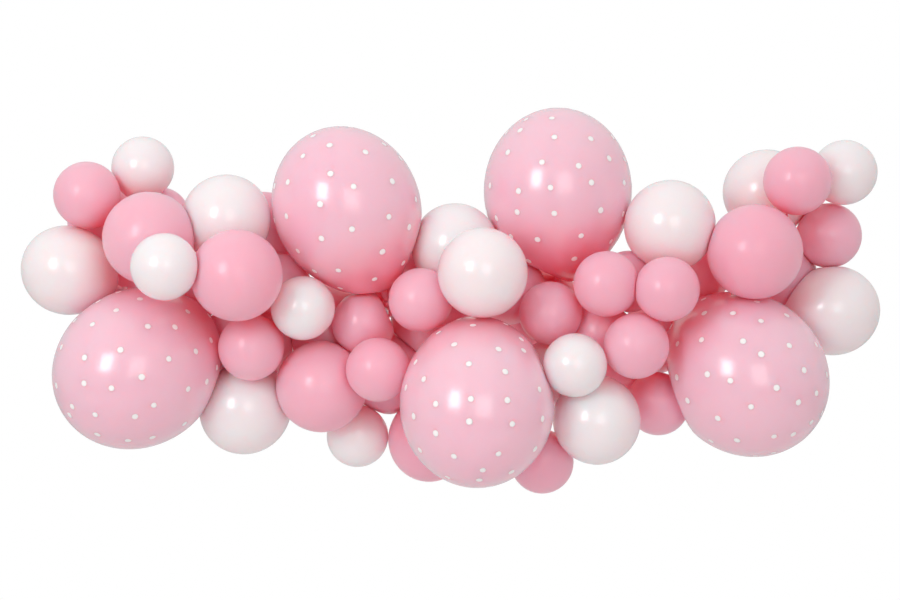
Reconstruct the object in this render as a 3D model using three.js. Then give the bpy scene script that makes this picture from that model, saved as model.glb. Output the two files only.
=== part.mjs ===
// A balloon garland: 58 tied latex balloons in three sizes, packed along a clear plastic
// decorating strip that hangs on a wall. Millimetres, +Z up, +X to the right as seen from the room.
// The wall is the plane y = 0 and the balloons bulge out of it towards -Y. The origin is the middle
// of the strip's back face, where the garland's middle hook holds it.
import * as THREE from 'three';

// Every two pieces keep this much air between them where they press together.
const airGap = 0.3;

// The strip is one flat moulded band. It bends in a shallow arc whose ends rise above the middle.
const strip = {
  width: 36,
  thickness: 1.2,
  arcRadius: 2500,
  halfLength: 640,
  holeCount: 12,
  holePitch: 105,
  holeDiameter: 5,
  holeSides: 6,
  arcSteps: 8,
};

// The three makes of balloon. crown and taper are how far the body reaches above and below its
// widest ring, in radii: a full balloon is egg shaped and a small one nearly round. neck is the
// radius of the tied neck and neckLength its length, in millimetres.
const makes = {
  large: { crown: 1.12, taper: 1.3, neck: 5.5, neckLength: 22, sides: 16, crownRings: 3, lowerRings: 4 },
  medium: { crown: 1.04, taper: 1.18, neck: 4.5, neckLength: 16, sides: 9, crownRings: 2, lowerRings: 3 },
  small: { crown: 1, taper: 1.1, neck: 3, neckLength: 10, sides: 8, crownRings: 2, lowerRings: 2 },
};

// Finishes of the latex: a base colour and how rough the skin is.
const finishes = {
  dotted: { color: 0xeab2c6, roughness: 0.35 },
  white: { color: 0xf1e9ec, roughness: 0.3 },
  pink: { color: 0xf49db4, roughness: 0.35 },
  strip: { color: 0xe8ecee, roughness: 0.25 },
};

// The balloons, family by family. A row is [right, out, up, diameter]: how far the middle of the
// widest ring lies to the right of the middle hook, out from the wall and above the hook.
// A large balloon, and one at the end of the garland, also has the direction in which its neck
// points, [right, back, up]. The others find theirs.
const families = [
  {
    name: 'dotted_balloon',
    make: 'large',
    finish: 'dotted',
    rows: [
      [-593, 205, -109, 298, [0.65, 0.6, 0.47]],
      [-195, 220, 195, 278, [0.38, 0.22, -0.9]],
      [207, 155, 230, 284, [0, 0.12, -0.99]],
      [50, 305, -171, 286, [0, 0.6, 0.8]],
      [561, 205, -121, 298, [-0.55, 0.6, 0.59]],
    ],
  },
  {
    name: 'white_balloon',
    make: 'medium',
    finish: 'white',
    rows: [
      [-730, 180, 77, 170, [0.88, 0.33, -0.33]],
      [-422, 230, 172, 168],
      [-395, 140, -189, 175],
      [10, 185, 120, 168],
      [60, 325, 70, 166],
      [415, 225, 160, 172],
      [275, 250, -205, 164],
      [740, 130, 0, 174, [-0.95, 0.3, -0.05]],
      [620, 90, 230, 168, [0.85, 0.45, -0.2]],
    ],
  },
  {
    name: 'small_white_balloon',
    make: 'small',
    finish: 'white',
    rows: [
      [-592, 145, 275, 120],
      [-515, 395, 80, 122],
      [-275, 262, 5, 120],
      [230, 320, -100, 118],
      [-180, 105, -245, 120],
      [757, 164, 265, 124],
      [195, 165, -120, 130],
    ],
  },
  {
    name: 'pink_balloon',
    make: 'medium',
    finish: 'pink',
    rows: [
      [-560, 280, 135, 172],
      [-390, 345, 65, 168],
      [-245, 185, -145, 174],
      [570, 260, 110, 178],
      [-40, 115, -250, 160],
      [-120, 85, -122, 158],
      [-365, 90, 145, 168],
      [475, 80, 85, 156],
      [-680, 75, 175, 140],
      [-610, 80, 55, 150],
      [-392, 90, -50, 184],
      [-240, 80, -35, 164],
      [-36, 80, -22, 160],
      [190, 60, -5, 156],
      [640, 80, 75, 150],
    ],
  },
  {
    name: 'small_pink_balloon',
    make: 'small',
    finish: 'pink',
    rows: [
      [-690, 200, 220, 126],
      [-375, 230, -70, 124],
      [-165, 180, -25, 122],
      [-135, 260, -110, 120],
      [-55, 260, 20, 120],
      [190, 225, -5, 120],
      [290, 290, 50, 122],
      [400, 315, 40, 120],
      [345, 295, -65, 122],
      [288, 190, -42, 120],
      [400, 155, -180, 120],
      [175, 195, -288, 120],
      [655, 230, 245, 128],
      [735, 120, 145, 126],
      [-565, 90, 185, 110],
      [-325, 175, 50, 118],
      [340, 190, 55, 118],
      [-480, 95, 45, 124],
      [-95, 75, 70, 146],
      [118, 140, 40, 134],
      [345, 60, -140, 112],
      [400, 75, -55, 140],
    ],
  },
];

// ---------------------------------------------------------------------------------------------
// The strip

// The point of the strip's middle line that lies `along` millimetres of arc from the origin.
function onStrip(along) {
  const turn = along / strip.arcRadius;
  return new THREE.Vector2(
    strip.arcRadius * Math.sin(turn),
    strip.arcRadius * (1 - Math.cos(turn)),
  );
}

// The middle line's point nearest to a place beside it.
function nearestOnStrip(place) {
  const turn = Math.atan2(place.x, strip.arcRadius - place.z);
  const reach = strip.halfLength;
  const along = THREE.MathUtils.clamp(turn * strip.arcRadius, -reach, reach);
  const point = onStrip(along);
  return new THREE.Vector3(point.x, 0, point.y);
}

// A round tie hole, drawn with a few sides.
function tieHole(along) {
  const middle = onStrip(along);
  const hole = new THREE.Path();
  for (let side = 0; side < strip.holeSides; side += 1) {
    const turn = (-2 * Math.PI * side) / strip.holeSides;
    const x = middle.x + (strip.holeDiameter / 2) * Math.cos(turn);
    const y = middle.y + (strip.holeDiameter / 2) * Math.sin(turn);
    if (side === 0) hole.moveTo(x, y);
    else hole.lineTo(x, y);
  }
  hole.closePath();
  return hole;
}

// The band: two concentric arcs joined by round ends, pierced by a row of tie holes.
function stripGeometry() {
  const half = strip.width / 2;
  const sweep = strip.halfLength / strip.arcRadius;
  const down = -Math.PI / 2;
  const left = onStrip(-strip.halfLength);
  const right = onStrip(strip.halfLength);
  const outline = new THREE.Shape();
  outline.absarc(0, strip.arcRadius, strip.arcRadius + half, down - sweep, down + sweep, false);
  outline.absarc(right.x, right.y, half, down + sweep, down + sweep + Math.PI, false);
  outline.absarc(0, strip.arcRadius, strip.arcRadius - half, down + sweep, down - sweep, true);
  outline.absarc(left.x, left.y, half, Math.PI / 2 - sweep, (3 * Math.PI) / 2 - sweep, false);
  for (let number = 0; number < strip.holeCount; number += 1) {
    outline.holes.push(tieHole((number - (strip.holeCount - 1) / 2) * strip.holePitch));
  }
  const band = new THREE.ExtrudeGeometry(outline, {
    depth: strip.thickness,
    bevelEnabled: false,
    curveSegments: strip.arcSteps,
  });
  return band.rotateX(Math.PI / 2);
}

// ---------------------------------------------------------------------------------------------
// One balloon's outline

// The tied end below the body: neck, knot, pinch and the flared, rolled lip with a blunt tip.
// Radii and lengths here are in neck radii.
const tail = {
  knotRadius: 1.7,
  pinchRadius: 0.9,
  pinchLength: 1.6,
  lipRadius: 2.2,
  lipLength: 2.6,
  tipLength: 0.5,
};

// The lower half of a balloon narrows as (1 - u * u) ** power, where u runs from the widest ring
// to the tail. This power carries the crown's curvature on across the widest ring.
function lowerPower(make) {
  return (make.taper / make.crown) ** 2 / 2;
}

// How far below the widest ring the lower half has narrowed to a radius.
function depthAtRadius(make, radius, narrow) {
  const u = Math.sqrt(1 - (narrow / radius) ** (1 / lowerPower(make)));
  return u * make.taper * radius;
}

// Half outline of the inflated body, crown first, as [radius, height above the widest ring].
// It ends where the body is as slim as the lip.
function bodyOutline(make, radius) {
  const points = [[0, make.crown * radius]];
  for (let ring = 1; ring <= make.crownRings; ring += 1) {
    const turn = (ring / make.crownRings) * (Math.PI / 2);
    points.push([radius * Math.sin(turn), make.crown * radius * Math.cos(turn)]);
  }
  const end = depthAtRadius(make, radius, tail.lipRadius * make.neck);
  for (let ring = 1; ring <= make.lowerRings; ring += 1) {
    const depth = (end * ring) / make.lowerRings;
    const u = depth / (make.taper * radius);
    points.push([radius * (1 - u * u) ** lowerPower(make), -depth]);
  }
  return points;
}

// The rest of the half outline, from the neck to the tip.
function tailOutline(make, radius) {
  const neckEnd = -depthAtRadius(make, radius, make.neck);
  const knot = neckEnd - make.neckLength;
  const pinch = knot - tail.pinchLength * make.neck;
  const lip = pinch - tail.lipLength * make.neck;
  return [
    [make.neck, neckEnd],
    [tail.knotRadius * make.neck, knot],
    [tail.pinchRadius * make.neck, pinch],
    [tail.lipRadius * make.neck, lip],
    [0, lip - tail.tipLength * make.neck],
  ];
}

// ---------------------------------------------------------------------------------------------
// How the balloons press together

// A balloon's place, size and outline, read from its row.
function readBalloon(family, row, number) {
  const [right, out, up, diameter, neckWay] = row;
  const make = makes[family.make];
  const radius = diameter / 2;
  const body = bodyOutline(make, radius);
  const tied = tailOutline(make, radius);
  return {
    name: `${family.name}_${number}`,
    finish: finishes[family.finish],
    make,
    centre: new THREE.Vector3(right, -out, up),
    radius,
    neckWay: neckWay ? new THREE.Vector3(...neckWay).normalize() : null,
    body,
    tied,
    slimDepth: -body.at(-1)[1],
    tipDepth: -tied.at(-1)[1],
    tailRadius: tail.lipRadius * make.neck,
  };
}

// The straight line that a balloon's tied end lies on, from its slim part to its tip.
function tailLine(balloon, way) {
  const start = balloon.centre.clone().addScaledVector(way, balloon.slimDepth);
  const end = balloon.centre.clone().addScaledVector(way, balloon.tipDepth);
  return new THREE.Line3(start, end);
}

// Directions spread evenly over a ball.
function spreadDirections(count) {
  const turn = Math.PI * (3 - Math.sqrt(5));
  const directions = [];
  for (let step = 0; step < count; step += 1) {
    const z = 1 - (2 * step + 1) / count;
    const ring = Math.sqrt(1 - z * z);
    directions.push(new THREE.Vector3(ring * Math.cos(turn * step), ring * Math.sin(turn * step), z));
  }
  return directions;
}

// How badly a tied end would be crushed between the other balloons, the wall and the ends
// that lie there already. 0 means that it lies free.
function crush(balloon, way, others, tails) {
  const line = tailLine(balloon, way);
  const nearest = new THREE.Vector3();
  let sum = Math.max(0, line.end.y + balloon.tailRadius + strip.thickness + airGap) / 10;
  for (const other of others) {
    if (other === balloon) continue;
    line.closestPointToPoint(other.centre, true, nearest);
    const room = nearest.distanceTo(other.centre) - balloon.tailRadius - other.radius;
    sum += Math.max(0, -room) / other.radius;
  }
  for (const laid of tails) {
    for (let step = 0; step <= 4; step += 1) {
      const point = laid.line.at(step / 4, new THREE.Vector3());
      line.closestPointToPoint(point, true, nearest);
      const room = nearest.distanceTo(point) - balloon.tailRadius - laid.radius;
      sum += Math.max(0, 3 - room) / 5;
    }
  }
  return sum;
}

// The tied end of a balloon points to the strip, as near as the gaps between its neighbours let it.
function chooseNeckWay(balloon, others, tails, directions) {
  const toStrip = nearestOnStrip(balloon.centre).sub(balloon.centre).normalize();
  let best = null;
  for (const way of directions) {
    const score = way.dot(toStrip) - 8 * crush(balloon, way, others, tails);
    if (!best || score > best.score) best = { way, score };
  }
  return best.way;
}

// How far a balloon's body reaches from its centre in a direction.
function reach(balloon, direction) {
  const along = -direction.dot(balloon.neckWay);
  const across = Math.sqrt(Math.max(0, 1 - along * along));
  return Math.max(...balloon.body.map(([r, height]) => height * along + r * across));
}

// The flat contacts that bound a balloon: one against each neighbour that it presses on, one
// against each tied end that it lies on, and the wall behind. A contact is { normal, distance }.
function contactsOf(balloon, balloons) {
  const wall = -balloon.centre.y - strip.thickness - airGap;
  const contacts = [{ normal: new THREE.Vector3(0, 1, 0), distance: wall }];
  for (const other of balloons) {
    if (other === balloon) continue;
    const normal = other.centre.clone().sub(balloon.centre);
    const apart = normal.length();
    normal.divideScalar(apart);
    const mine = reach(balloon, normal);
    const theirs = reach(other, normal.clone().negate());
    if (apart < mine + theirs + airGap) {
      contacts.push({ normal, distance: (apart * mine) / (mine + theirs) - airGap / 2 });
    }
    const nearest = new THREE.Vector3();
    tailLine(other, other.neckWay).closestPointToPoint(balloon.centre, true, nearest);
    const toTail = nearest.sub(balloon.centre);
    const distance = toTail.length() - other.tailRadius - airGap;
    toTail.normalize();
    if (distance < reach(balloon, toTail)) contacts.push({ normal: toTail, distance });
  }
  return contacts;
}

// The outline turned round its axis, aimed by the neck, and flattened at its contacts. A body
// point past a contact slides back to it on its line to the centre. The tied end stays round.
function balloonGeometry(balloon, balloons) {
  const outline = [...balloon.body, ...balloon.tied];
  const points = outline.map(([r, height]) => new THREE.Vector2(r, height)).reverse();
  const geometry = new THREE.LatheGeometry(points, balloon.make.sides);
  const crownWay = balloon.neckWay.clone().negate();
  const aim = new THREE.Quaternion().setFromUnitVectors(new THREE.Vector3(0, 1, 0), crownWay);
  geometry.applyQuaternion(aim);
  const contacts = contactsOf(balloon, balloons);
  const position = geometry.attributes.position;
  const point = new THREE.Vector3();
  for (let index = 0; index < position.count; index += 1) {
    point.fromBufferAttribute(position, index);
    if (point.dot(balloon.neckWay) > balloon.slimDepth + airGap) continue;
    let share = 1;
    for (const { normal, distance } of contacts) {
      share = Math.min(share, distance / Math.max(distance, point.dot(normal)));
    }
    point.multiplyScalar(share);
    position.setXYZ(index, point.x, point.y, point.z);
  }
  geometry.computeVertexNormals();
  return geometry;
}

// ---------------------------------------------------------------------------------------------
// The garland

function piece(name, geometry, finish) {
  const mesh = new THREE.Mesh(geometry, new THREE.MeshStandardMaterial({ ...finish, metalness: 0 }));
  mesh.name = name;
  return mesh;
}

const garland = new THREE.Group();
garland.name = 'balloon_garland';
garland.add(piece('hanging_strip', stripGeometry(), finishes.strip));

const balloons = families.flatMap((family) => (
  family.rows.map((row, index) => readBalloon(family, row, index + 1))
));
const directions = spreadDirections(600);
const tails = [];
for (const balloon of balloons) {
  balloon.neckWay ??= chooseNeckWay(balloon, balloons, tails, directions);
  tails.push({ line: tailLine(balloon, balloon.neckWay), radius: balloon.tailRadius });
}
for (const balloon of balloons) {
  const mesh = piece(balloon.name, balloonGeometry(balloon, balloons), balloon.finish);
  mesh.position.copy(balloon.centre);
  garland.add(mesh);
}

export default garland;
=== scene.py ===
import math

import bpy
import numpy as np
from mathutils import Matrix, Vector
from mathutils.bvhtree import BVHTree


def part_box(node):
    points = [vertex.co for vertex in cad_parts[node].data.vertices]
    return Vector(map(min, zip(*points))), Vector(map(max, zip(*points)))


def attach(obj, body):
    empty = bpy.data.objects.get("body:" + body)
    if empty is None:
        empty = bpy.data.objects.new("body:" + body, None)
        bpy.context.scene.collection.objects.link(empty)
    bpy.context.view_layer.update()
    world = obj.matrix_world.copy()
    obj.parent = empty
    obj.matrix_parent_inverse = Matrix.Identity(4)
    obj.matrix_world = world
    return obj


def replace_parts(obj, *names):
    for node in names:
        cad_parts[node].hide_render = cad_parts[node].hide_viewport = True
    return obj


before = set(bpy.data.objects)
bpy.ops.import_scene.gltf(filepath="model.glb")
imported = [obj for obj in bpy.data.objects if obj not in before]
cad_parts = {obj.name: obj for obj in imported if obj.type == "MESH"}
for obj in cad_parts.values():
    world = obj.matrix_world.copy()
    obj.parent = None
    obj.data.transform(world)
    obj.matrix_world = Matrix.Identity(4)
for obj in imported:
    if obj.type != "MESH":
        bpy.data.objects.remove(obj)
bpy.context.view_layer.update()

scene = bpy.context.scene


# ---------------------------------------------------------------------------------------------
# The hanging strip: one flat moulded band of clear, slightly milky plastic, 36 mm wide, that bends
# in a shallow arc. It has a row of round holes for the balloons' necks, each with a raised rim on
# the front. It lies flat on the wall, hidden by the balloons.

BAND_WIDTH = 0.036
BAND_ARC = 2.5
BAND_HALF_LENGTH = 0.64
BAND_EDGE = 0.0002
HOLE_COUNT = 12
HOLE_PITCH = 0.105
HOLE_RADIUS = 0.0025
RIM_WIDTH = 0.0011
RIM_LIFT = 0.00018

band_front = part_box("hanging_strip")[0][1]


def on_arc(radius, turn):
    """A point of a circle round the middle of the band's arc, in the wall's plane."""
    return radius * math.sin(turn), BAND_ARC - radius * math.cos(turn)


def add_loop(curve, points):
    """A closed outline added to a flat curve."""
    loop = curve.splines.new("POLY")
    loop.points.add(len(points) - 1)
    for corner, (x, y) in zip(loop.points, points):
        corner.co = (x, y, 0, 1)
    loop.use_cyclic_u = True


def band_outline():
    """The two long arcs and the two round ends."""
    half = BAND_WIDTH / 2
    sweep = BAND_HALF_LENGTH / BAND_ARC
    long_turns = np.linspace(-sweep, sweep, 72)
    end_turns = np.linspace(-math.pi / 2, math.pi / 2, 17)[1:-1]
    points = [on_arc(BAND_ARC + half, turn) for turn in long_turns]
    right_x, right_y = on_arc(BAND_ARC, sweep)
    points += [(right_x + half * math.cos(t + sweep), right_y + half * math.sin(t + sweep))
               for t in end_turns]
    points += [on_arc(BAND_ARC - half, turn) for turn in long_turns[::-1]]
    left_x, left_y = on_arc(BAND_ARC, -sweep)
    points += [(left_x - half * math.cos(t - sweep), left_y - half * math.sin(t - sweep))
               for t in end_turns]
    return points


hole_turns = [(k - (HOLE_COUNT - 1) / 2) * HOLE_PITCH / BAND_ARC for k in range(HOLE_COUNT)]
hole_places = [on_arc(BAND_ARC, turn) for turn in hole_turns]

band_curve = bpy.data.curves.new("hanging_band", "CURVE")
band_curve.dimensions = "2D"
band_curve.fill_mode = "BOTH"
band_curve.extrude = -band_front / 2 - BAND_EDGE
band_curve.bevel_depth = BAND_EDGE
band_curve.bevel_resolution = 2
band_curve.offset = -BAND_EDGE
add_loop(band_curve, band_outline())
for middle_x, middle_y in hole_places:
    circle = np.linspace(0, -2 * math.pi, 32, endpoint=False)
    add_loop(band_curve, [
        (middle_x + HOLE_RADIUS * math.cos(t), middle_y + HOLE_RADIUS * math.sin(t)) for t in circle
    ])
band_pattern = bpy.data.objects.new("band_pattern", band_curve)
scene.collection.objects.link(band_pattern)
band_mesh = bpy.data.meshes.new_from_object(band_pattern.evaluated_get(
    bpy.context.evaluated_depsgraph_get()))
bpy.data.objects.remove(band_pattern)


def stand_on_wall(mesh):
    """Turns a mesh drawn flat in x and y to the wall's plane, its middle in the band's thickness."""
    coords = np.empty(len(mesh.vertices) * 3)
    mesh.vertices.foreach_get("co", coords)
    coords = coords.reshape(-1, 3)
    turned = np.stack([coords[:, 0], band_front / 2 - coords[:, 2], coords[:, 1]], 1)
    mesh.vertices.foreach_set("co", turned.ravel())


stand_on_wall(band_mesh)


def clear_plastic():
    """Clear moulded plastic with a faint milkiness."""
    material = bpy.data.materials.new("clear_plastic")
    material.use_nodes = True
    shader = material.node_tree.nodes["Principled BSDF"]
    shader.inputs["Base Color"].default_value = (0.95, 0.96, 0.97, 1)
    shader.inputs["Roughness"].default_value = 0.22
    shader.inputs["IOR"].default_value = 1.49
    shader.inputs["Transmission Weight"].default_value = 0.6
    return material


strip_plastic = clear_plastic()


def add_piece(mesh, name):
    """Puts a finished mesh in the scene as a piece of the garland."""
    piece = bpy.data.objects.new(name, mesh)
    scene.collection.objects.link(piece)
    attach(piece, "root")
    return piece


band_mesh.materials.clear()
band_mesh.materials.append(strip_plastic)
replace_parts(add_piece(band_mesh, "hanging_band"), "hanging_strip")


def point_mesh(name, points, normals):
    """Bare points, each with the way that its copy faces."""
    mesh = bpy.data.meshes.new(name)
    mesh.from_pydata([tuple(p) for p in points], [], [])
    facing = mesh.attributes.new("facing", "FLOAT_VECTOR", "POINT")
    facing.data.foreach_set("vector", np.asarray(normals, np.float32).ravel())
    return mesh


def number_input(tree, name, value):
    """A named number that a Geometry Nodes tree takes."""
    socket = tree.interface.new_socket(name, in_out="INPUT", socket_type="NodeSocketFloat")
    socket.default_value = value
    return socket


def start_tree(name):
    """A Geometry Nodes tree with its group input and output, and mesh sockets on both."""
    tree = bpy.data.node_groups.new(name, "GeometryNodeTree")
    tree.interface.new_socket("Points", in_out="INPUT", socket_type="NodeSocketGeometry")
    tree.interface.new_socket("Copies", in_out="OUTPUT", socket_type="NodeSocketGeometry")
    return tree, tree.nodes.new("NodeGroupInput"), tree.nodes.new("NodeGroupOutput")


def place_copies(tree, start, end, shape, material, size_spread):
    """Sets a copy of a shape on every point, turned to face its way, and makes them real."""
    nodes, links = tree.nodes, tree.links
    facing = nodes.new("GeometryNodeInputNamedAttribute")
    facing.data_type = "FLOAT_VECTOR"
    facing.inputs["Name"].default_value = "facing"
    turn = nodes.new("FunctionNodeAlignRotationToVector")
    turn.axis = "Z"
    size = nodes.new("FunctionNodeRandomValue")
    size.inputs[2].default_value = 1 - size_spread
    size.inputs[3].default_value = 1 + size_spread
    size.inputs["Seed"].default_value = 7
    copies = nodes.new("GeometryNodeInstanceOnPoints")
    real = nodes.new("GeometryNodeRealizeInstances")
    paint = nodes.new("GeometryNodeSetMaterial")
    paint.inputs["Material"].default_value = material
    links.new(start.outputs["Points"], copies.inputs["Points"])
    links.new(shape, copies.inputs["Instance"])
    links.new(facing.outputs["Attribute"], turn.inputs["Vector"])
    links.new(turn.outputs["Rotation"], copies.inputs["Rotation"])
    links.new(size.outputs[1], copies.inputs["Scale"])
    links.new(copies.outputs["Instances"], real.inputs["Geometry"])
    links.new(real.outputs["Geometry"], paint.inputs["Geometry"])
    links.new(paint.outputs["Geometry"], end.inputs["Copies"])


def grown_mesh(name, points, tree, numbers):
    """The mesh that a tree makes on the points, with its named numbers set."""
    holder = bpy.data.objects.new(name, points)
    scene.collection.objects.link(holder)
    modifier = holder.modifiers.new(name, "NODES")
    modifier.node_group = tree
    for socket, value in numbers:
        modifier[socket.identifier] = value
    mesh = bpy.data.meshes.new_from_object(
        holder.evaluated_get(bpy.context.evaluated_depsgraph_get()))
    holder.modifiers.remove(modifier)
    bpy.data.objects.remove(holder)
    mesh.polygons.foreach_set("use_smooth", np.ones(len(mesh.polygons), bool))
    return mesh


# The rims: a flattened bead swept round each hole, laid half into the band's front.
rim_tree, rim_start, rim_end = start_tree("hole_rims")
rim_radius = number_input(rim_tree, "Rim radius", HOLE_RADIUS + RIM_WIDTH / 2)
rim_circle = rim_tree.nodes.new("GeometryNodeCurvePrimitiveCircle")
rim_circle.inputs["Resolution"].default_value = 32
bead = rim_tree.nodes.new("GeometryNodeCurvePrimitiveCircle")
bead.inputs["Resolution"].default_value = 8
bead.inputs["Radius"].default_value = RIM_WIDTH / 2
rim_sweep = rim_tree.nodes.new("GeometryNodeCurveToMesh")
rim_flat = rim_tree.nodes.new("GeometryNodeTransform")
rim_flat.inputs["Scale"].default_value = (1, 1, 2 * RIM_LIFT / RIM_WIDTH)
rim_tree.links.new(rim_start.outputs["Rim radius"], rim_circle.inputs["Radius"])
rim_tree.links.new(rim_circle.outputs["Curve"], rim_sweep.inputs["Curve"])
rim_tree.links.new(bead.outputs["Curve"], rim_sweep.inputs["Profile Curve"])
rim_tree.links.new(rim_sweep.outputs["Mesh"], rim_flat.inputs["Geometry"])
place_copies(rim_tree, rim_start, rim_end, rim_flat.outputs["Geometry"], strip_plastic, 0)

rim_points = point_mesh("hole_rim_places", [(x, band_front, z) for x, z in hole_places],
                        [(0, -1, 0)] * HOLE_COUNT)
rim_mesh = grown_mesh("hole_rims", rim_points, rim_tree, [(rim_radius, HOLE_RADIUS + RIM_WIDTH / 2)])
add_piece(rim_mesh, "hole_rims")


# ---------------------------------------------------------------------------------------------
# The five dotted balloons: 30 cm latex balloons with a pearl finish, blown full and egg shaped,
# printed with small white dots and tied in an overhand knot. A skin is one piece from its crown
# to the flared mouth beyond the knot. Where two balloons touch, both flatten on a shared plane.

# For each make: how far the crown and the lower half reach from the widest ring, in radii, the
# neck's radius and length, and the sides and rings of the finished skin.
MAKES = {
    "large": {"crown": 1.12, "taper": 1.3, "neck": 0.0055, "neck_length": 0.022,
              "sides": 144, "crown_rings": 40, "lower_rings": 52},
    "medium": {"crown": 1.04, "taper": 1.18, "neck": 0.0045, "neck_length": 0.016,
               "sides": 84, "crown_rings": 24, "lower_rings": 32},
    "small": {"crown": 1.0, "taper": 1.1, "neck": 0.003, "neck_length": 0.010,
              "sides": 68, "crown_rings": 20, "lower_rings": 26},
}
# The tied end, in neck radii: knot, the pinch after it, the flared lip and its blunt tip.
KNOT_RADIUS = 1.7
PINCH_RADIUS = 0.9
PINCH_LENGTH = 1.6
LIP_RADIUS = 2.2
LIP_LENGTH = 2.6
TIP_LENGTH = 0.5
TIED_LENGTH = PINCH_LENGTH + LIP_LENGTH + TIP_LENGTH
# Two skins keep the air gap where they press together. A sharper press leaves a harder shoulder
# round the flat, and it fades over a part of the radius where the tied end starts. The last number
# is how far painted shade deepens the colour where neighbours cover a skin.
AIR_GAP = 0.0003
PRESS_SHARPNESS = 60
PRESS_FADE = 0.06
PAINTED_SHADE_DEPTH = 0.9


def unit(v):
    return v / np.linalg.norm(v)


def lower_power(make):
    """How fast the lower half narrows, so that it carries on the crown's curve."""
    return (make["taper"] / make["crown"]) ** 2 / 2


def depth_at_radius(make, radius, narrow):
    """How far below the widest ring the lower half has narrowed to a radius."""
    u = math.sqrt(1 - (narrow / radius) ** (1 / lower_power(make)))
    return u * make["taper"] * radius


def read_balloon(node):
    """A balloon's centre, radius, make and neck direction, from its solid."""
    coords = np.empty(len(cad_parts[node].data.vertices) * 3)
    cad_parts[node].data.vertices.foreach_get("co", coords)
    points = np.unique(coords.reshape(-1, 3).round(6), axis=0)
    gaps = np.linalg.norm(points[:, None] - points[None], axis=2)
    ends = np.unravel_index(gaps.argmax(), gaps.shape)
    # The tip is the end with a small ring of points close round it: the rim of the lip.
    tip_index = min(ends, key=lambda end: np.partition(gaps[end], 1)[1])
    tip = points[tip_index]
    rim_gap = np.partition(gaps[tip_index], 1)[1]
    neck = rim_gap / math.hypot(LIP_RADIUS, TIP_LENGTH)
    make = min(MAKES.values(), key=lambda m: abs(m["neck"] - neck))
    rim = points[(gaps[tip_index] > 0) & (gaps[tip_index] < rim_gap * 1.05)]
    way = unit(tip - rim.mean(0))
    # The tied end stays round on the axis, so the middle of its points lies on the axis too.
    along = (points - tip) @ way
    tied_reach = make["neck_length"] + (TIED_LENGTH + 0.1) * make["neck"]
    tied = points[(along > -tied_reach) & (along < -1e-5)]
    way = unit(tip - tied.mean(0))
    rel = points - tip
    radius = np.linalg.norm(rel - np.outer(rel @ way, way), axis=1).max()
    neck_end = depth_at_radius(make, radius, make["neck"])
    tip_depth = neck_end + make["neck_length"] + TIED_LENGTH * make["neck"]
    return {
        "node": node, "make": make, "radius": radius, "way": way, "tip_depth": tip_depth,
        "centre": tip - way * tip_depth, "neck_end": neck_end,
        "slim_depth": depth_at_radius(make, radius, LIP_RADIUS * make["neck"]),
        "outline": body_outline(make, radius, 24, 32, make["neck"]),
    }


def body_outline(make, radius, crown_rings, lower_rings, end_radius):
    """Half outline of the blown body, crown first: radius and height at each ring."""
    turn = np.linspace(0, math.pi / 2, crown_rings, endpoint=False)
    crown = np.stack([radius * np.sin(turn), make["crown"] * radius * np.cos(turn)], 1)
    u_end = depth_at_radius(make, radius, end_radius) / (make["taper"] * radius)
    u = np.sin(np.linspace(0, math.asin(u_end), lower_rings))
    lower = np.stack([radius * (1 - u * u) ** lower_power(make), -make["taper"] * radius * u], 1)
    return np.concatenate([crown, lower])


balloons = [read_balloon(node) for node in sorted(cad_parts) if "balloon" in node]


def reach(balloon, direction):
    """How far the body reaches from its centre in a direction."""
    along = -float(direction @ balloon["way"])
    across = math.sqrt(max(0.0, 1 - along * along))
    outline = balloon["outline"]
    return float((outline[:, 1] * along + outline[:, 0] * across).max())


def contacts_of(balloon):
    """Every plane that bounds a balloon: outward normals, and distances from its centre."""
    normals = [np.array([0.0, 1.0, 0.0])]
    distances = [band_front - balloon["centre"][1] - AIR_GAP]
    for other in balloons:
        if other is balloon:
            continue
        apart = other["centre"] - balloon["centre"]
        normal = unit(apart)
        mine = reach(balloon, normal)
        theirs = reach(other, -normal)
        if np.linalg.norm(apart) < mine + theirs + AIR_GAP:
            normals.append(normal)
            distances.append(np.linalg.norm(apart) * mine / (mine + theirs) - AIR_GAP / 2)
        # A balloon also gives way to a tied end that it lies on.
        start = other["centre"] + other["way"] * other["slim_depth"]
        length = other["tip_depth"] - other["slim_depth"]
        step = float(np.clip((balloon["centre"] - start) @ other["way"], 0, length))
        to_tail = start + other["way"] * step - balloon["centre"]
        room = np.linalg.norm(to_tail) - LIP_RADIUS * other["make"]["neck"] - AIR_GAP
        if room < reach(balloon, unit(to_tail)):
            normals.append(unit(to_tail))
            distances.append(room)
    return np.array(normals), np.array(distances)


def ease(x):
    """Falls smoothly from 1 at 0 to 0 at 1."""
    x = np.clip(x, 0, 1)
    return 1 - x * x * (3 - 2 * x)


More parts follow.
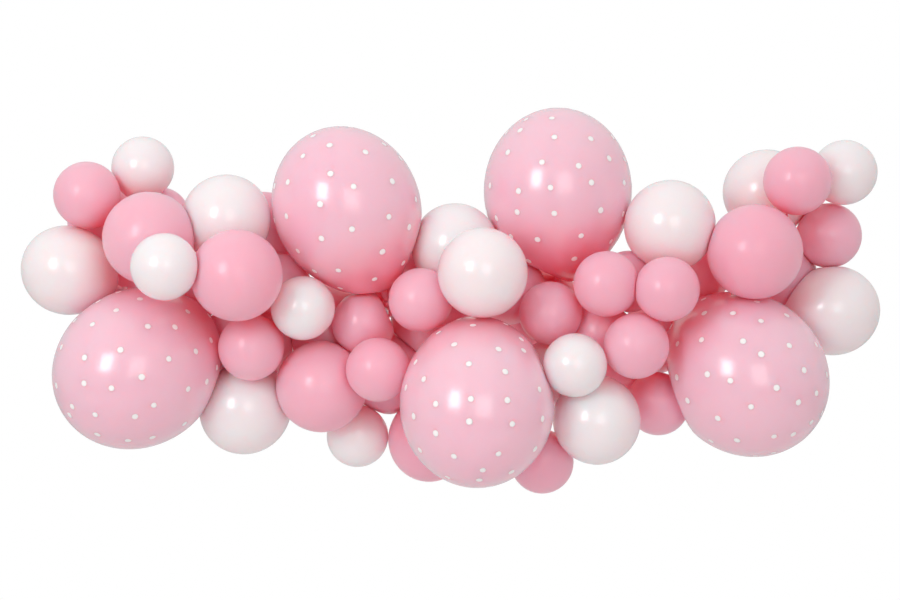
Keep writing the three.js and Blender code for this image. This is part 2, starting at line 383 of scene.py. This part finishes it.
def tied_outline(make, neck_end):
    """Half outline of the tied end: neck, knot, pinch, flared mouth, rolled rim and the hollow
    inside it, in that order, as radius and height."""
    neck = make["neck"]
    knot = -neck_end - make["neck_length"]
    pinch = knot - PINCH_LENGTH * neck
    lip = pinch - LIP_LENGTH * neck
    rows = []
    for t in np.linspace(0.12, 0.8, 7):
        rows.append((neck * (0.92 + 0.55 * (1 - t) ** 3), -neck_end - t * make["neck_length"]))
    for t in np.linspace(0.1, 1, 8):
        bulge = math.sin(math.pi * t) ** 0.7
        width = PINCH_RADIUS + (KNOT_RADIUS - PINCH_RADIUS) * bulge
        rows.append((neck * width, knot + 1.5 * neck * (1 - 2 * t)))
    for t in np.linspace(0.15, 1, 7):
        flare = PINCH_RADIUS + (LIP_RADIUS - 0.25 - PINCH_RADIUS) * t ** 1.6
        rows.append((neck * flare, pinch - t * (LIP_LENGTH - 0.3) * neck))
    for t in np.linspace(0.15, 1, 8):
        turn = math.pi * (1.15 * t - 0.15)
        rim_radius = LIP_RADIUS - 0.28 + 0.28 * math.sin(turn)
        rows.append((neck * rim_radius, lip + neck * (0.06 - 0.14 * (1 - math.cos(turn)))))
    for t in np.linspace(0.25, 1, 6):
        rows.append((1.85 * neck * (1 - t) ** 0.8, lip + neck * (0.1 + 1.7 * t)))
    return np.array(rows)


def skin_points(balloon, seed):
    """A skin's points, ring by ring from crown to mouth, and how stretched it is at each."""
    make, radius, neck = balloon["make"], balloon["radius"], balloon["make"]["neck"]
    body = body_outline(make, radius, make["crown_rings"], make["lower_rings"], 1.45 * neck)
    tied = tied_outline(make, balloon["neck_end"])
    outline = np.concatenate([body, tied])[1:-1]
    turn = np.linspace(0, 2 * math.pi, make["sides"], endpoint=False)
    rng = np.random.default_rng(seed)
    fold_phase, wave_phase, lip_phase = rng.uniform(0, 2 * math.pi, 3)
    folds = int(rng.integers(10, 16))
    depth = -outline[:, 1]
    # Pleats gather the latex towards the neck, and the mouth is pinched flat and wavy.
    gathered = ease((balloon["neck_end"] - depth) / (0.16 * radius)) * (depth > 0)
    gathered = gathered * (depth < balloon["neck_end"] + 0.8 * make["neck_length"])
    beyond = (depth > balloon["neck_end"] + make["neck_length"] + neck)[:, None]
    pleats = 1 - 0.05 * gathered[:, None] * (0.5 + 0.5 * np.cos(folds * turn + fold_phase))
    waves = np.where(beyond, 0.94 + 0.06 * np.cos(3 * turn + wave_phase), 1)
    across = outline[:, :1] * pleats * waves
    droop = 0.25 * neck * np.cos(2 * turn + lip_phase) * across / (LIP_RADIUS * neck)
    height = outline[:, 1:] + np.where(beyond, droop, 0)
    axis = -balloon["way"]
    side = unit(np.cross(axis, [0.3, 0.1, 1.0]))
    other_side = np.cross(axis, side)
    flat = np.where(beyond, 0.62, 1.0)
    rel = (flat * across * np.cos(turn))[..., None] * side
    rel = rel + (across * np.sin(turn))[..., None] * other_side + height[..., None] * axis
    rel = np.concatenate([[axis * make["crown"] * radius], rel.reshape(-1, 3), [axis * tied[-1, 1]]])
    # Every contact draws the body in, with a soft shoulder round the flat. The tied end stays free.
    normals, distances = contacts_of(balloon)
    pressed = np.clip((rel @ normals.T) / distances, 0, None)
    pull = (1 + (pressed ** PRESS_SHARPNESS).sum(1)) ** (-1 / PRESS_SHARPNESS)
    past_slim = (rel @ balloon["way"] - balloon["slim_depth"]) / (PRESS_FADE * radius)
    pull = 1 - (1 - pull) * ease(past_slim)
    ring_stretch = ease(depth / (1.02 * balloon["neck_end"]))
    stretch_and_shade = np.concatenate([[1.0], np.repeat(ring_stretch, make["sides"]), [0.0]])
    return balloon["centre"] + rel * pull[:, None], stretch_and_shade


def skin_faces(rings, sides):
    """Faces between the rings, with a fan on each end, facing outwards."""
    faces = []
    last = 1 + rings * sides
    for k in range(sides):
        after = (k + 1) % sides
        faces.append((0, 1 + k, 1 + after))
        faces.append((last, last - sides + after, last - sides + k))
        for start in range(1, last - sides, sides):
            faces.append((start + k, start + sides + k, start + sides + after, start + after))
    return faces


def painted_shade_cover(balloon, points):
    """How much of the view out from each point of a skin is filled by the other balloons: where shade is
    painted into the colour.
    """
    outward = unit(points - balloon["centre"])
    filled = np.zeros(len(points))
    for other in balloons:
        if other is not balloon:
            towards = other["centre"] - points
            distance = np.linalg.norm(towards, axis=1)
            facing = np.clip((outward * towards).sum(axis=1) / distance, 0, 1)
            filled += facing * np.minimum(1, other["radius"] / distance) ** 2
    return np.minimum(filled, 1)


def make_skin(balloon, seed, material):
    """The finished skin of one balloon, in place of its solid."""
    points, stretch_and_shade = skin_points(balloon, seed)
    sides = balloon["make"]["sides"]
    faces = skin_faces((len(points) - 2) // sides, sides)
    balloon["surface"] = BVHTree.FromPolygons(points.tolist(), faces)
    mesh = bpy.data.meshes.new(balloon["node"] + "_skin")
    mesh.from_pydata(points, [], faces)
    mesh.polygons.foreach_set("use_smooth", np.ones(len(mesh.polygons), bool))
    # The stored colour factor is the skin's stretch times a painted shade: the colour darkens where
    # other balloons cover the skin.
    stretch_and_shade_layer = mesh.attributes.new("stretch_and_shade", "FLOAT", "POINT")
    painted_shade_factor = 1 - PAINTED_SHADE_DEPTH * painted_shade_cover(balloon, points)
    stretch_and_shade_layer.data.foreach_set("value", (stretch_and_shade * painted_shade_factor).astype(np.float32))
    mesh.materials.append(material)
    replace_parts(add_piece(mesh, balloon["node"] + "_skin"), balloon["node"])


def latex(name, thin_colour, thick_and_shaded_colour, roughness, gloss):
    """Blown latex: palest where it is stretched thinnest, deeper where painted shade darkens it as
    neighbours close it in, with light inside it.
    """
    material = bpy.data.materials.new(name)
    material.use_nodes = True
    nodes, links = material.node_tree.nodes, material.node_tree.links
    shader = nodes["Principled BSDF"]
    # The colour runs from the thick one to the thin one by the stored factor: the latex's stretch,
    # darkened by painted shade where neighbouring balloons close the skin in.
    stretch_and_shade = nodes.new("ShaderNodeAttribute")
    stretch_and_shade.attribute_name = "stretch_and_shade"
    thickness = nodes.new("ShaderNodeMix")
    thickness.data_type = "RGBA"
    thickness.inputs["A"].default_value = (*thick_and_shaded_colour, 1)
    thickness.inputs["B"].default_value = (*thin_colour, 1)
    links.new(stretch_and_shade.outputs["Fac"], thickness.inputs["Factor"])
    # The tone drifts a little from one balloon to the next.
    place = nodes.new("ShaderNodeTexCoord")
    clouds = nodes.new("ShaderNodeTexNoise")
    clouds.inputs["Scale"].default_value = 5
    clouds.inputs["Detail"].default_value = 1
    drift = nodes.new("ShaderNodeMapRange")
    drift.inputs["To Min"].default_value = 0.88
    drift.inputs["To Max"].default_value = 1.12
    tone = nodes.new("ShaderNodeHueSaturation")
    links.new(place.outputs["Object"], clouds.inputs["Vector"])
    links.new(clouds.outputs["Fac"], drift.inputs["Value"])
    links.new(drift.outputs["Result"], tone.inputs["Saturation"])
    links.new(thickness.outputs["Result"], tone.inputs["Color"])
    links.new(tone.outputs["Color"], shader.inputs["Base Color"])
    # A fine unevenness of the skin breaks up the edge of a highlight.
    grain = nodes.new("ShaderNodeTexNoise")
    grain.inputs["Scale"].default_value = 260
    grain.inputs["Detail"].default_value = 3
    bump = nodes.new("ShaderNodeBump")
    bump.inputs["Strength"].default_value = 0.05
    bump.inputs["Distance"].default_value = 0.0004
    links.new(place.outputs["Object"], grain.inputs["Vector"])
    links.new(grain.outputs["Fac"], bump.inputs["Height"])
    links.new(bump.outputs["Normal"], shader.inputs["Normal"])
    shader.inputs["Roughness"].default_value = roughness
    shader.inputs["IOR"].default_value = 1.45
    shader.inputs["Coat Weight"].default_value = gloss
    shader.inputs["Coat IOR"].default_value = 1.7
    shader.inputs["Coat Roughness"].default_value = 0.18
    shader.inputs["Subsurface Weight"].default_value = 0.9
    shader.inputs["Subsurface Radius"].default_value = (1.0, 0.16, 0.18)
    shader.inputs["Subsurface Scale"].default_value = 0.12
    return material


pearl_pink = latex("pearl_pink_latex", (0.94, 0.575, 0.685), (0.98, 0.25, 0.33), 0.34, 0.9)
dotted_balloons = [b for b in balloons if b["node"].startswith("dotted")]
for number, b in enumerate(dotted_balloons):
    make_skin(b, number, pearl_pink)

# The printed dots: thin round spots of white ink in staggered rings round each balloon.
DOT_RADIUS = 0.0058
DOT_THICKNESS = 0.0002
RING_GAP = 0.058
DOT_GAP = 0.074
DOT_JITTER = 0.2
DOT_SPREAD = 0.08
DOT_SEED = 20
LAST_RING = math.radians(142)


def white_ink():
    """White screen ink."""
    material = bpy.data.materials.new("white_ink")
    material.use_nodes = True
    shader = material.node_tree.nodes["Principled BSDF"]
    shader.inputs["Base Color"].default_value = (0.99, 0.98, 0.98, 1)
    shader.inputs["Roughness"].default_value = 0.4
    return material


def dot_places(balloon, seed):
    """Where the dots lie on a balloon's skin and the way that each faces."""
    radius, make = balloon["radius"], balloon["make"]
    rng = np.random.default_rng(seed)
    axis = -balloon["way"]
    side = unit(np.cross(axis, [0.3, 0.1, 1.0]))
    other_side = np.cross(axis, side)
    rings = round(LAST_RING * 1.08 * radius / RING_GAP)
    places, facings = [], []
    for ring in range(rings + 1):
        angle = LAST_RING * (ring + 0.4) / (rings + 0.4)
        count = max(1, round(2 * math.pi * radius * math.sin(angle) / DOT_GAP))
        start = rng.uniform(0, 1)
        for k in range(count):
            turn = 2 * math.pi * (k + start + rng.uniform(-DOT_JITTER, DOT_JITTER)) / count
            lean = angle + rng.uniform(-DOT_JITTER, DOT_JITTER) * RING_GAP / radius
            out = math.cos(turn) * side + math.sin(turn) * other_side
            ray = unit(math.sin(lean) * out + make["crown"] * math.cos(lean) * axis)
            outside = Vector(balloon["centre"] + 2 * radius * ray)
            place, normal = balloon["surface"].ray_cast(outside, -Vector(ray))[:2]
            places.append(tuple(place))
            facings.append(tuple(normal))
    return places, facings


dot_tree, dot_start, dot_end = start_tree("printed_dots")
dot_radius = number_input(dot_tree, "Dot radius", DOT_RADIUS)
dot_thickness = number_input(dot_tree, "Ink thickness", DOT_THICKNESS)
spot = dot_tree.nodes.new("GeometryNodeMeshUVSphere")
spot.inputs["Segments"].default_value = 20
spot.inputs["Rings"].default_value = 6
spot_size = dot_tree.nodes.new("ShaderNodeCombineXYZ")
spot_flat = dot_tree.nodes.new("GeometryNodeTransform")
dot_tree.links.new(dot_start.outputs["Dot radius"], spot_size.inputs["X"])
dot_tree.links.new(dot_start.outputs["Dot radius"], spot_size.inputs["Y"])
dot_tree.links.new(dot_start.outputs["Ink thickness"], spot_size.inputs["Z"])
dot_tree.links.new(spot.outputs["Mesh"], spot_flat.inputs["Geometry"])
dot_tree.links.new(spot_size.outputs["Vector"], spot_flat.inputs["Scale"])
place_copies(dot_tree, dot_start, dot_end, spot_flat.outputs["Geometry"], white_ink(), DOT_SPREAD)

for number, b in enumerate(dotted_balloons):
    dot_points = point_mesh(b["node"] + "_dot_places", *dot_places(b, DOT_SEED + number))
    dot_mesh = grown_mesh(b["node"] + "_dots", dot_points, dot_tree,
                          [(dot_radius, DOT_RADIUS), (dot_thickness, DOT_THICKNESS)])
    add_piece(dot_mesh, b["node"] + "_dots")


# ---------------------------------------------------------------------------------------------
# The sixteen white balloons: nine blown to 17 cm and seven small 5 inch ones, all of white latex
# with a pearl finish that lets a little light through. They are moulded and tied like the others.

pearl_white = latex("pearl_white_latex", (0.94, 0.855, 0.87), (0.97, 0.68, 0.71), 0.34, 0.7)
for number, b in enumerate(balloons):
    if "white" in b["node"]:
        make_skin(b, number, pearl_white)


# ---------------------------------------------------------------------------------------------
# The thirty-seven plain pink balloons: fifteen of 14 to 18 cm and twenty-two small ones. Their
# latex has no pearl in it, so it is duller and deeper in colour, with painted shade deepest where they
# press together.

plain_pink = latex("plain_pink_latex", (0.97, 0.475, 0.585), (0.99, 0.14, 0.19), 0.42, 0.3)
for number, b in enumerate(balloons):
    if "pink" in b["node"]:
        make_skin(b, number, plain_pink)


# ---------------------------------------------------------------------------------------------
# The studio: a camera straight in front of the wall, a bright soft box on the left, a broad warm
# one close to the camera, an even pale room round them and a pale round floor below the garland.

scene.view_settings.view_transform = "Standard"
scene.cycles.max_bounces = 20
scene.cycles.diffuse_bounces = 16

CAMERA_DISTANCE = 4.0
CAMERA_RISE = 0.02
SEEN_WIDTH = 1.8

camera_data = bpy.data.cameras.new("camera")
camera_data.sensor_width = 36
camera_data.lens = camera_data.sensor_width * CAMERA_DISTANCE / SEEN_WIDTH
camera = bpy.data.objects.new("camera", camera_data)
camera.location = (0, -CAMERA_DISTANCE, CAMERA_RISE)
camera.rotation_euler = (math.radians(90), 0, 0)
scene.collection.objects.link(camera)
scene.camera = camera


def soft_box(name, place, width, height, power, colour):
    """A rectangular lamp with a grid on it, aimed a little above the middle of the garland."""
    lamp = bpy.data.lights.new(name, "AREA")
    lamp.shape = "RECTANGLE"
    lamp.size = width
    lamp.size_y = height
    lamp.energy = power
    lamp.color = colour
    lamp.spread = math.radians(110)
    holder = bpy.data.objects.new(name, lamp)
    holder.location = place
    holder.rotation_euler = (Vector((0, -0.2, 0.25)) - Vector(place)).to_track_quat("-Z", "Y").to_euler()
    scene.collection.objects.link(holder)


soft_box("key_light", (-2.0, -3.2, 0.95), 1.0, 1.35, 12.5, (1, 0.985, 0.98))
soft_box("front_light", (0.7, -4.2, 0.6), 1.6, 1.9, 7, (1, 0.97, 0.94))

world = bpy.data.worlds.new("pale_room")
world.use_nodes = True
scene.world = world
nodes = world.node_tree.nodes
links = world.node_tree.links
nodes.clear()
# The room is a little darker below than above, and the camera sees it as plain white paper.
direction = nodes.new("ShaderNodeTexCoord")
split = nodes.new("ShaderNodeSeparateXYZ")
brightness = nodes.new("ShaderNodeMapRange")
brightness.inputs["From Min"].default_value = -1
brightness.inputs["To Min"].default_value = 0.26
brightness.inputs["To Max"].default_value = 0.92
room = nodes.new("ShaderNodeBackground")
room.inputs["Color"].default_value = (1, 0.99, 0.985, 1)
paper = nodes.new("ShaderNodeBackground")
paper.inputs["Color"].default_value = (1, 1, 1, 1)
seen = nodes.new("ShaderNodeLightPath")
choose = nodes.new("ShaderNodeMixShader")
out = nodes.new("ShaderNodeOutputWorld")
links.new(direction.outputs["Generated"], split.inputs["Vector"])
links.new(split.outputs["Z"], brightness.inputs["Value"])
links.new(brightness.outputs["Result"], room.inputs["Strength"])
links.new(seen.outputs["Is Camera Ray"], choose.inputs["Fac"])
links.new(room.outputs["Background"], choose.inputs[1])
links.new(paper.outputs["Background"], choose.inputs[2])
links.new(choose.outputs["Shader"], out.inputs["Surface"])

FLOOR_RADIUS = 3.4
FLOOR_HEIGHT = -1.3
floor_mesh = bpy.data.meshes.new("floor")
floor_turns = np.linspace(0, 2 * math.pi, 96, endpoint=False)
floor_mesh.from_pydata(
    [(FLOOR_RADIUS * math.cos(t), FLOOR_RADIUS * math.sin(t), FLOOR_HEIGHT) for t in floor_turns],
    [], [list(range(len(floor_turns)))])
floor = bpy.data.objects.new("floor", floor_mesh)
scene.collection.objects.link(floor)
floor_paint = bpy.data.materials.new("floor_paint")
floor_paint.use_nodes = True
floor_shader = floor_paint.node_tree.nodes["Principled BSDF"]
floor_shader.inputs["Base Color"].default_value = (0.8, 0.77, 0.77, 1)
floor_shader.inputs["Roughness"].default_value = 0.8
floor_mesh.materials.append(floor_paint)
